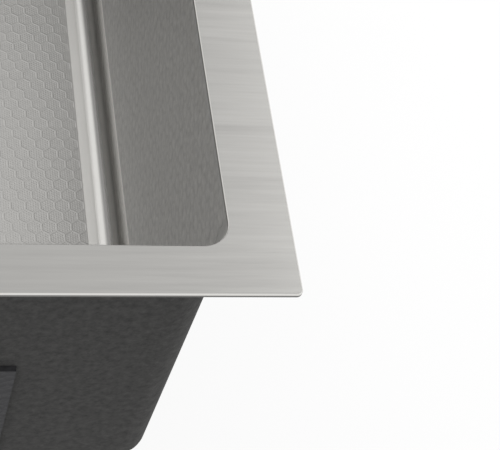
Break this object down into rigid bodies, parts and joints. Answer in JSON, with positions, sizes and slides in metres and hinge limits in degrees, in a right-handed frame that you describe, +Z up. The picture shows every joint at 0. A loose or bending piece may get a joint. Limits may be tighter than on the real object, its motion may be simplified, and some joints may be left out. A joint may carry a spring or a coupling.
{
  "type": "kitchen sink",
  "caption": "Drop-in stainless steel kitchen sink: flat brushed rim, one deep bowl embossed with honeycomb, tap hole, worktop clips and a lift-out basket strainer with plug.",
  "frame": {"origin": "middle of the rim, on the surface of the worktop, which is the underside of the rim's seal", "axes": "+X to the right along the length, +Y to the back, towards the tap hole, +Z up"},
  "size_m": [0.6, 0.45, 0.2937],
  "materials": {
    "rim_steel": "brushed along the length",
    "bowl_steel": "embossed honeycomb, bright bends",
    "polished_steel": "polished",
    "zinc_steel": "zinc plated",
    "coat": "matt sprayed coat",
    "pad_rubber": "matt",
    "foam": "closed cell foam",
    "black_rubber": "matt",
    "fibre": "pressed fibre",
    "white_plastic": "moulded",
    "black_plastic": "moulded"
  },
  "bodies": {
    "sink": {"rim_deck": "rim_steel", "bowl": "bowl_steel", "sound_coat": "coat", "rim_seal": "foam", "deck_rails": "zinc_steel", "clip_ears": "zinc_steel", "clip_arms": "zinc_steel", "clip_nuts": "zinc_steel", "flange_gasket": "black_rubber", "strainer_body": "polished_steel", "outlet_tail": "zinc_steel", "rubber_washer": "black_rubber", "friction_ring": "fibre", "locknut": "white_plastic", "sound_pad_front": "pad_rubber", "sound_pad_back": "pad_rubber", "sound_pad_left": "pad_rubber", "sound_pad_right": "pad_rubber", "sound_pad_floor_left": "pad_rubber", "sound_pad_floor_right": "pad_rubber"},
    "basket": {"basket_cup": "polished_steel", "post_bush": "black_plastic"},
    "stopper": {"stopper_post": "polished_steel", "stopper_knob": "polished_steel", "stopper_washer": "polished_steel", "stopper_seal": "black_rubber", "stopper_nut": "polished_steel"},
    "clip_front_left": {"clip_screw_front_left": "zinc_steel", "clip_foot_front_left": "black_plastic"},
    "clip_front_right": {"clip_screw_front_right": "zinc_steel", "clip_foot_front_right": "black_plastic"},
    "clip_right": {"clip_screw_right": "zinc_steel", "clip_foot_right": "black_plastic"},
    "clip_back_right": {"clip_screw_back_right": "zinc_steel", "clip_foot_back_right": "black_plastic"},
    "clip_back_left": {"clip_screw_back_left": "zinc_steel", "clip_foot_back_left": "black_plastic"},
    "clip_left": {"clip_screw_left": "zinc_steel", "clip_foot_left": "black_plastic"}
  },
  "joints": [
    {"name": "basket_lift", "type": "slide", "parent": "sink", "child": "basket", "axis": [0, 0, 1], "range_m": [0, 0.28]},
    {"name": "stopper_lift", "type": "slide", "parent": "basket", "child": "stopper", "axis": [0, 0, 1], "range_m": [0, 0.008]},
    {"name": "clip_screw_front_left", "type": "slide", "parent": "sink", "child": "clip_front_left", "axis": [0, 0, 1], "range_m": [-0.015, 0.0085]},
    {"name": "clip_screw_front_right", "type": "slide", "parent": "sink", "child": "clip_front_right", "axis": [0, 0, 1], "range_m": [-0.015, 0.0085]},
    {"name": "clip_screw_right", "type": "slide", "parent": "sink", "child": "clip_right", "axis": [0, 0, 1], "range_m": [-0.015, 0.0085]},
    {"name": "clip_screw_back_right", "type": "slide", "parent": "sink", "child": "clip_back_right", "axis": [0, 0, 1], "range_m": [-0.015, 0.0085]},
    {"name": "clip_screw_back_left", "type": "slide", "parent": "sink", "child": "clip_back_left", "axis": [0, 0, 1], "range_m": [-0.015, 0.0085]},
    {"name": "clip_screw_left", "type": "slide", "parent": "sink", "child": "clip_left", "axis": [0, 0, 1], "range_m": [-0.015, 0.0085]}
  ]
}
